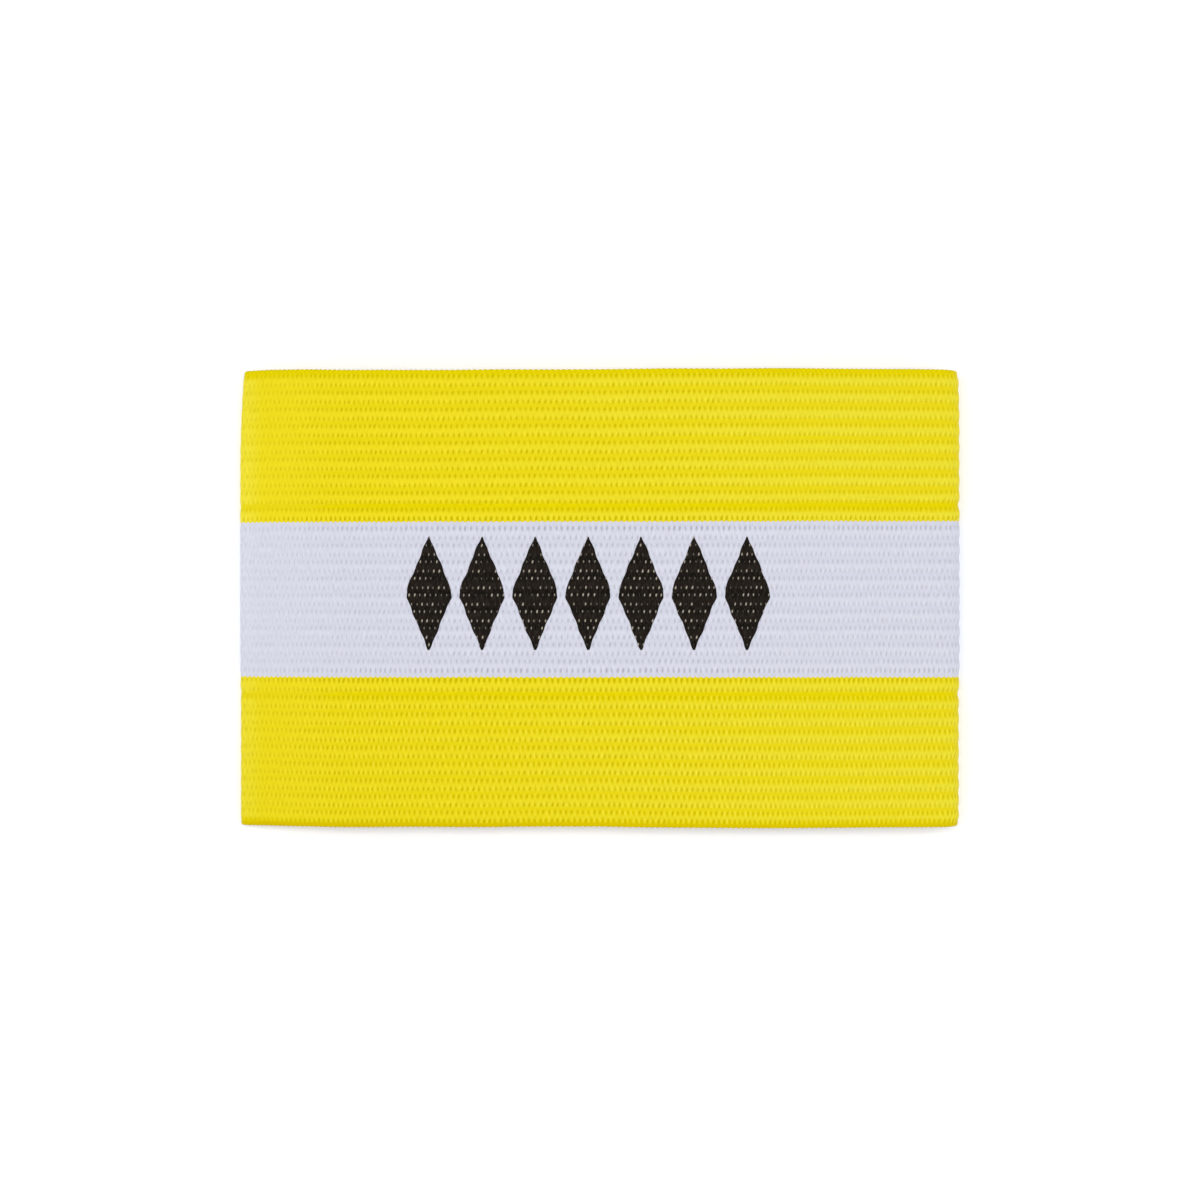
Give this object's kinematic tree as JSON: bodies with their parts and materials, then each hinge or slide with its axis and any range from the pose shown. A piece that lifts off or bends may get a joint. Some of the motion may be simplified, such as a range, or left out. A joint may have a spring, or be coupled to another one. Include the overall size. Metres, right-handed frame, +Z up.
{
  "type": "captain armband",
  "caption": "Wide ribbed elastic armband, woven in three stripes and sewn into a loop, lying flat, with a row of printed lozenges on the middle stripe.",
  "frame": {"origin": "middle of the flattened band, on the surface that it lies on", "axes": "+X along the band from its slack fold to its round fold, +Y from the lower stripe to the upper stripe, +Z up from the surface"},
  "size_m": [0.142, 0.09, 0.0102],
  "materials": {
    "yellow_elastic": "bright yellow polyester over rubber cords, ribbed weave with a soft sheen",
    "white_elastic": "cool white polyester over rubber cords, ribbed weave with a soft sheen",
    "black_ink": "matt black screen-print ink, broken by the weave's pinholes"
  },
  "bodies": {
    "root": {"upper_stripe": "yellow_elastic", "centre_stripe": "white_elastic", "lower_stripe": "yellow_elastic", "print_mark_1": "black_ink", "print_mark_2": "black_ink", "print_mark_3": "black_ink", "print_mark_4": "black_ink", "print_mark_5": "black_ink", "print_mark_6": "black_ink", "print_mark_7": "black_ink"}
  },
  "joints": []
}
